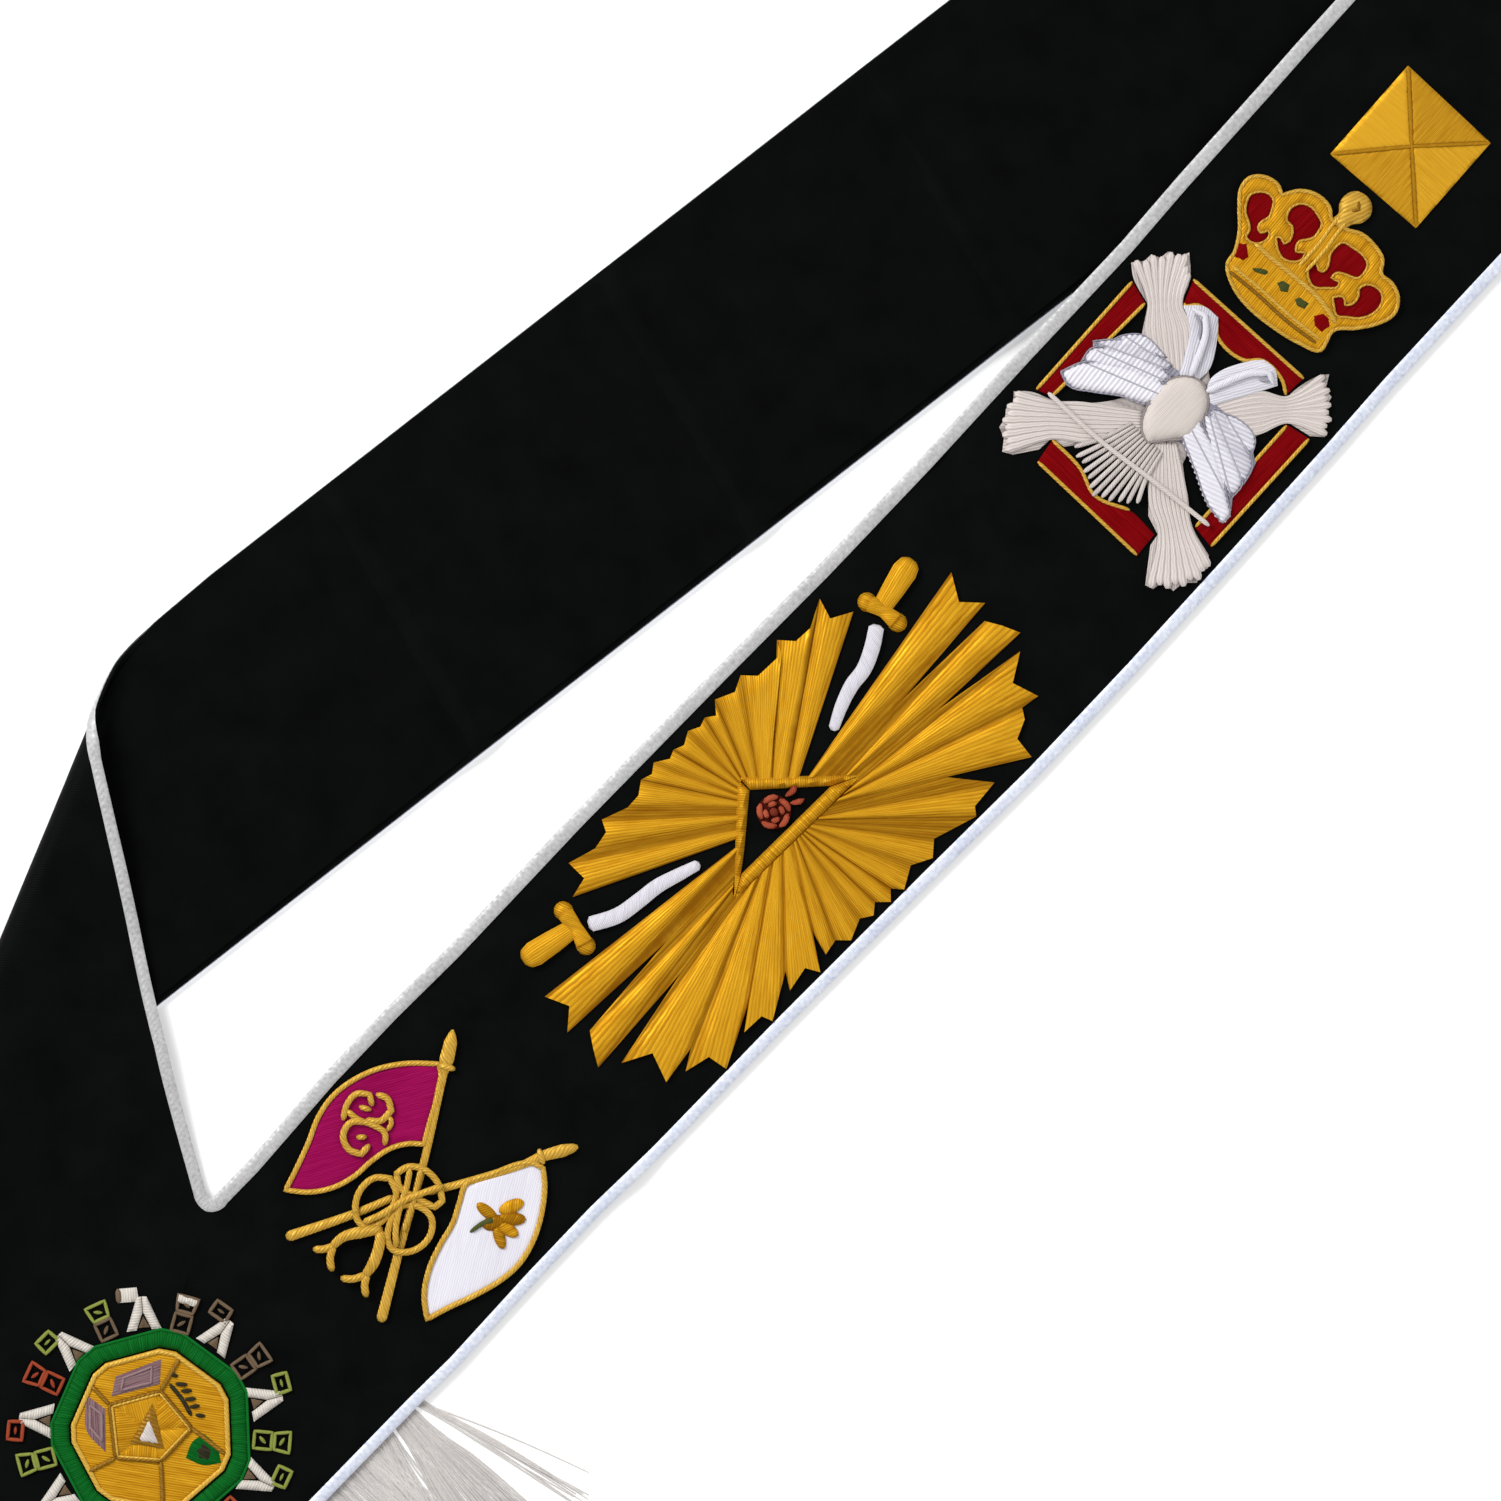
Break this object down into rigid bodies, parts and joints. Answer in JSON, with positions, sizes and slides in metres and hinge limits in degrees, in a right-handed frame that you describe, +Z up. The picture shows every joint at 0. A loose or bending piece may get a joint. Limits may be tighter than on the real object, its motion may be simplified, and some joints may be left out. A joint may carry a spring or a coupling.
{
  "type": "ceremonial sash",
  "caption": "Black ribbon sash worn over one shoulder, with silver braid, padded gold and silver embroidery and a fringed point, laid flat with its back half folded under.",
  "frame": {"origin": "centre of the bounding box's footprint, at its base", "axes": "+Z up, out of the cloth as it lies flat with the front band face up; +Y runs roughly along the front band toward the shoulder; +X to the right of the front band"},
  "size_m": [0.8144, 0.8856, 0.0143],
  "materials": {
    "cloth": "smooth, slightly lustrous",
    "braid": "woven metallic thread",
    "fringe": "loose twisted strands",
    "gold_thread": "padded satin stitch in metallic thread",
    "crimson": "satin stitch",
    "silver_thread": "padded satin stitch",
    "magenta": "satin",
    "rose": "knotted stitch",
    "green": "satin stitch",
    "banner": "stitched thread"
  },
  "bodies": {
    "root": {"front_face": "cloth", "front_lining": "cloth", "back_face": "cloth", "back_lining": "cloth", "front_inner_braid": "braid", "front_outer_braid": "braid", "back_inner_braid": "braid", "back_outer_braid": "braid", "front_fringe": "fringe", "back_fringe": "fringe", "pyramid": "gold_thread", "crown_frame": "gold_thread", "glory_right_rays": "gold_thread", "glory_left_rays": "gold_thread", "glory_triangle": "gold_thread", "upper_hilt": "gold_thread", "lower_hilt": "gold_thread", "left_pole": "gold_thread", "right_pole_head": "gold_thread", "right_pole_foot": "gold_thread", "cord_knot": "gold_thread", "left_flag_scroll": "gold_thread", "right_flag_sprig": "gold_thread", "camp_plate": "gold_thread", "crown_lining": "crimson", "square_top_bar": "crimson", "square_left_bar": "crimson", "square_right_bar": "crimson", "square_bottom_bar": "crimson", "ray_cross": "silver_thread", "left_wing": "silver_thread", "right_wing": "silver_thread", "wing_body": "silver_thread", "wing_tail": "silver_thread", "cord_bar": "silver_thread", "upper_blade": "silver_thread", "lower_blade": "silver_thread", "right_flag": "silver_thread", "camp_triangle": "silver_thread", "camp_tent_1": "silver_thread", "camp_tent_2": "silver_thread", "camp_tent_3": "silver_thread", "camp_tent_4": "silver_thread", "camp_tent_5": "silver_thread", "camp_tent_6": "silver_thread", "camp_tent_7": "silver_thread", "camp_tent_8": "silver_thread", "camp_tent_9": "silver_thread", "left_flag": "magenta", "rose": "rose", "camp_ring": "green", "camp_banner_1": "banner", "camp_banner_2": "banner", "camp_banner_3": "banner", "camp_banner_4": "banner", "camp_banner_5": "banner", "camp_banner_6": "banner", "camp_banner_7": "banner", "camp_banner_8": "banner", "camp_banner_9": "banner"}
  },
  "joints": []
}
